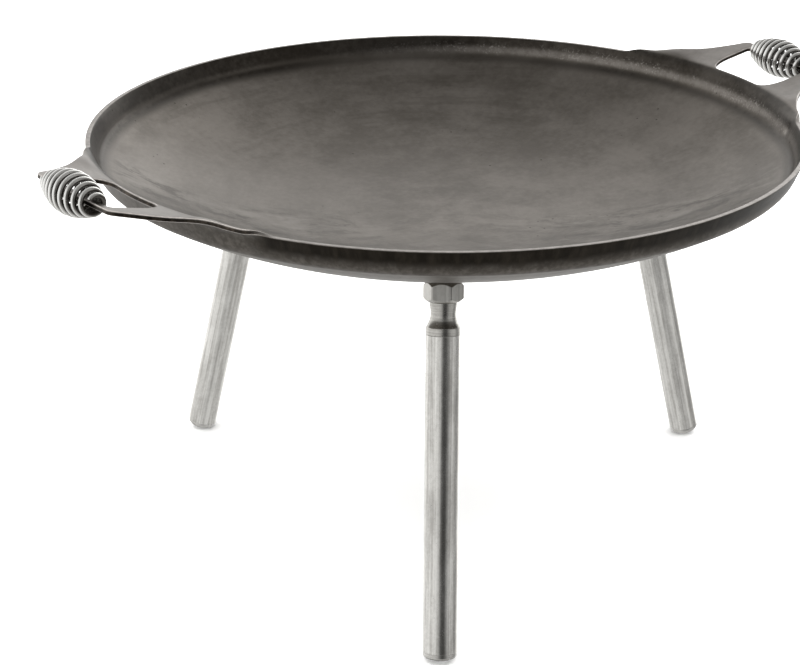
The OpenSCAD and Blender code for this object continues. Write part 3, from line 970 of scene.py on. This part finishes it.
# ---------------------------------------------------------------- floor, light, camera
me = bpy.data.meshes.new("floor")
bm = bmesh.new()
bmesh.ops.create_circle(bm, cap_ends=True, segments=96, radius=9.0)
bm.to_mesh(me)
bm.free()
floor = bpy.data.objects.new("floor", me)
bpy.context.scene.collection.objects.link(floor)
floor.location.z = -0.0002
me.materials.append(floor_material())
floor.visible_glossy = False

VIEW = 34.0  # the photo's viewing direction, in degrees from the frame's own Y
ROT = Matrix.Rotation(math.radians(-VIEW), 3, "Z")


def seen(x, y, z):
    """A vector given as seen in the photo (right, away, up) in the frame of the part."""
    return ROT @ Vector((x, y, z))


world = bpy.data.worlds.new("studio")
bpy.context.scene.world = world
world.use_nodes = True
wt = world.node_tree
wt.nodes.clear()


def wnode(kind, **kw):
    n = wt.nodes.new(kind)
    for k, v in kw.items():
        setattr(n, k, v)
    return n


def wmath(op, a, b):
    n = wnode("ShaderNodeMath", operation=op)
    for sock, v in zip(n.inputs, (a, b)):
        if isinstance(v, (int, float)):
            sock.default_value = v
        else:
            wt.links.new(v, sock)
    return n.outputs[0]


def wdot(v):
    n = wnode("ShaderNodeVectorMath", operation="DOT_PRODUCT")
    wt.links.new(w_dir, n.inputs[0])
    n.inputs[1].default_value = v
    return n.outputs["Value"]


w_dir = wnode("ShaderNodeTexCoord").outputs["Generated"]
# round the horizon: 0 and 1 behind the object, 0.5 at the viewer, then on to the right
turn = wmath("ARCTAN2", wdot(seen(1, 0, 0)), wdot(seen(0, -1, 0)))
turn = wmath("ADD", wmath("DIVIDE", turn, 2 * math.pi), 0.5)
w_ramp = wnode("ShaderNodeValToRGB")
w_ramp.color_ramp.interpolation = "EASE"
stops = [(-180, 1.52), (-165, 1.38), (-135, 1.52), (-95, 1.08), (-45, 1.04), (-18, 0.80), (-7, 0.42), (2, 0.10), (24, 0.09),
         (38, 0.38), (56, 0.70), (82, 0.74), (97, 0.40), (114, 0.38), (136, 1.75), (155, 2.40), (168, 2.10), (180, 1.52)]
els = w_ramp.color_ramp.elements
while len(els) < len(stops):
    els.new(0.5)
for el, (deg, lum) in zip(els, stops):
    el.position = deg / 360.0 + 0.5
    el.color = (lum, lum * 1.0, lum * 0.99, 1.0)
wt.links.new(turn, w_ramp.inputs[0])
w_up = wnode("ShaderNodeMapRange", interpolation_type="SMOOTHSTEP", clamp=True)
wt.links.new(wdot((0, 0, 1)), w_up.inputs["Value"])
w_up.inputs["From Min"].default_value, w_up.inputs["From Max"].default_value = 0.28, 0.93
w_mix = wnode("ShaderNodeMix", data_type="RGBA")
wt.links.new(w_up.outputs[0], w_mix.inputs[0])
wt.links.new(w_ramp.outputs[0], w_mix.inputs[6])
w_mix.inputs[7].default_value = (0.42, 0.42, 0.414, 1.0)
# below the horizon: the pale floor, as the bright metal sees it
w_down = wnode("ShaderNodeMapRange", interpolation_type="SMOOTHSTEP", clamp=True)
wt.links.new(wdot((0, 0, -1)), w_down.inputs["Value"])
w_down.inputs["From Min"].default_value, w_down.inputs["From Max"].default_value = 0.22, 0.80
w_mix2 = wnode("ShaderNodeMix", data_type="RGBA")
wt.links.new(w_down.outputs[0], w_mix2.inputs[0])
wt.links.new(w_mix.outputs[2], w_mix2.inputs[6])
w_mix2.inputs[7].default_value = (0.84, 0.84, 0.83, 1.0)
w_bg = wnode("ShaderNodeBackground")
wt.links.new(w_mix2.outputs[2], w_bg.inputs[0])
w_bg.inputs[1].default_value = 1.0
# the backdrop itself is plain white
w_white = wnode("ShaderNodeBackground")
w_white.inputs[0].default_value = (1.0, 1.0, 1.0, 1.0)
w_sel = wnode("ShaderNodeMixShader")
wt.links.new(wnode("ShaderNodeLightPath").outputs["Is Camera Ray"], w_sel.inputs[0])
wt.links.new(w_bg.outputs[0], w_sel.inputs[1])
wt.links.new(w_white.outputs[0], w_sel.inputs[2])
w_out = wnode("ShaderNodeOutputWorld")
wt.links.new(w_sel.outputs[0], w_out.inputs[0])


def area(name, at, look, size, power, glossy=True):
    d = bpy.data.lights.new(name, "AREA")
    d.shape = "RECTANGLE"
    d.size, d.size_y = size
    d.energy = power
    o = bpy.data.objects.new(name, d)
    bpy.context.scene.collection.objects.link(o)
    o.location = seen(*at)
    o.rotation_mode = "QUATERNION"
    o.rotation_quaternion = (Vector(seen(*look)) - o.location).to_track_quat("-Z", "Y")
    o.visible_glossy = glossy
    o.visible_camera = False
    return o


area("soft_top", (0.0, 0.0, 3.0), (0, 0, 0.2), (4.4, 4.4), 212.0, False)
for k, (fx, fy) in enumerate(((-2.4, -0.6), (2.4, -0.6), (0.0, 2.6), (0.0, -2.6))):
    area(f"soft_side_{k}", (fx, fy, 0.9), (0, 0, 0.05), (2.4, 1.2), 36.0, False)

cam_data = bpy.data.cameras.new("camera")
cam_data.sensor_fit = "HORIZONTAL"
cam_data.sensor_width = 36.0
cam_data.lens = 83.697
cam_data.clip_start, cam_data.clip_end = 0.01, 100.0
camera = bpy.data.objects.new("camera", cam_data)
bpy.context.scene.collection.objects.link(camera)
yaw, pitch = 0.0253, 0.4103
fwd = seen(-math.sin(yaw) * math.cos(pitch), math.cos(yaw) * math.cos(pitch), -math.sin(pitch))
right = seen(math.cos(yaw), math.sin(yaw), 0)
upv = right.cross(fwd)
camera.matrix_world = Matrix((
    (right.x, upv.x, -fwd.x, 0), (right.y, upv.y, -fwd.y, 0), (right.z, upv.z, -fwd.z, 0), (0, 0, 0, 1)))
camera.location = seen(0.0, -1.15329, 0.62429)
bpy.context.scene.camera = camera
bpy.context.scene.view_settings.view_transform = "Standard"
